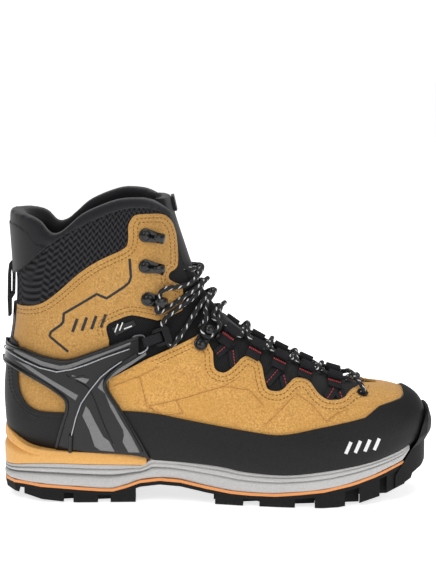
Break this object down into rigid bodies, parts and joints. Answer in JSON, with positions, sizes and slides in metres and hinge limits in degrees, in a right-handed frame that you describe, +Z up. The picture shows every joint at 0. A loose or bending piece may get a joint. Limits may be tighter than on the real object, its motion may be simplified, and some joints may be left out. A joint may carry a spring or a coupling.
{
  "type": "mountaineering boot",
  "caption": "Mid-height mountaineering boot with laced throat, rubber rand, ankle cage, lugged sole and lift-out footbed.",
  "frame": {"origin": "middle of the boot's footprint, on the ground under the sole", "axes": "+X towards the toe, +Y towards the medial (inner) side of this right boot, +Z up"},
  "size_m": [0.3062, 0.1034, 0.214],
  "materials": {
    "steel": "brushed",
    "webbing": "woven",
    "slider_plastic": "moulded",
    "cage_plastic": "moulded, semi-matt",
    "dark_metal": "gunmetal",
    "black_rubber": "smooth, semi-matt",
    "inlay_plastic": "moulded",
    "midsole_foam": "moulded foam",
    "wedge_foam": "moulded foam",
    "board_plastic": "pressed board",
    "footbed_fabric": "felt on foam",
    "lining_fabric": "brushed lining",
    "softshell": "smooth padded",
    "stiffener_plastic": "thermoformed",
    "suede": "suede, matt",
    "collar_mesh_fabric": "woven mesh",
    "tongue_fabric": "stretch woven",
    "label_tape": "woven tape",
    "lace_cord": "braided",
    "upper_fabric": "woven"
  },
  "bodies": {
    "boot": {"strap_lateral": "webbing", "slider_lateral": "slider_plastic", "strap_medial": "webbing", "slider_medial": "slider_plastic", "ankle_cage": "cage_plastic", "cable_heel": "steel", "cable_instep_lateral": "steel", "cable_instep_medial": "steel", "eyelet_lateral": "dark_metal", "lace_loop_1_lateral": "webbing", "lace_loop_2_lateral": "webbing", "lace_loop_3_lateral": "webbing", "lace_loop_4_lateral": "webbing", "lace_loop_5_lateral": "webbing", "lock_hook_lateral": "dark_metal", "speed_hook_1_lateral": "dark_metal", "speed_hook_2_lateral": "dark_metal", "speed_hook_3_lateral": "dark_metal", "eyelet_medial": "dark_metal", "lace_loop_1_medial": "webbing", "lace_loop_2_medial": "webbing", "lace_loop_3_medial": "webbing", "lace_loop_4_medial": "webbing", "lace_loop_5_medial": "webbing", "lock_hook_medial": "dark_metal", "speed_hook_1_medial": "dark_metal", "speed_hook_2_medial": "dark_metal", "speed_hook_3_medial": "dark_metal", "outsole": "black_rubber", "sole_inlay": "inlay_plastic", "midsole": "midsole_foam", "heel_wedge": "wedge_foam", "shank": "steel", "insole_board": "board_plastic", "lining_bootie": "lining_fabric", "collar_roll": "softshell", "heel_pad": "softshell", "heel_stiffener": "stiffener_plastic", "toe_puff": "stiffener_plastic", "vamp_suede": "suede", "collar_mesh": "collar_mesh_fabric", "toe_rand": "black_rubber", "heel_cap": "black_rubber", "back_strap": "webbing", "tongue": "tongue_fabric", "tongue_tab": "tongue_fabric", "label": "label_tape", "lace": "lace_cord", "side_textile_lateral": "upper_fabric", "ankle_panel_lateral": "suede", "side_textile_medial": "upper_fabric", "ankle_panel_medial": "suede"},
    "footbed": {"footbed": "footbed_fabric"},
    "pull_loop": {"pull_loop": "webbing"},
    "d_ring_lateral": {"d_ring_lateral": "steel"},
    "d_ring_medial": {"d_ring_medial": "steel"},
    "lock_roller_lateral": {"lock_roller_lateral": "dark_metal"},
    "lock_roller_medial": {"lock_roller_medial": "dark_metal"}
  },
  "joints": [
    {"name": "footbed_lift", "type": "hinge", "parent": "boot", "child": "footbed", "pos_m": [0.131, 0, 0.044], "axis": [0, 1, 0], "range_deg": [0, 4]},
    {"name": "pull_loop_tilt", "type": "hinge", "parent": "boot", "child": "pull_loop", "pos_m": [-0.14695, 0.00395, 0.127], "axis": [0, -1, 0], "range_deg": [0, 30]},
    {"name": "d_ring_swing_lateral", "type": "hinge", "parent": "boot", "child": "d_ring_lateral", "pos_m": [-0.0571, -0.03685, 0.11241], "axis": [-0.3224, 0.0704, 0.944], "range_deg": [-4, 4]},
    {"name": "d_ring_swing_medial", "type": "hinge", "parent": "boot", "child": "d_ring_medial", "pos_m": [-0.05712, 0.04379, 0.1124], "axis": [-0.3225, -0.0698, 0.944], "range_deg": [-4, 4]},
    {"name": "lock_roller_turn_lateral", "type": "hinge", "parent": "boot", "child": "lock_roller_lateral", "pos_m": [-0.00774, -0.02337, 0.11983], "axis": [0.3363, -0.8304, 0.4442], "continuous": true},
    {"name": "lock_roller_turn_medial", "type": "hinge", "parent": "boot", "child": "lock_roller_medial", "pos_m": [-0.00776, 0.03067, 0.11981], "axis": [0.3296, 0.8369, 0.437], "continuous": true}
  ]
}
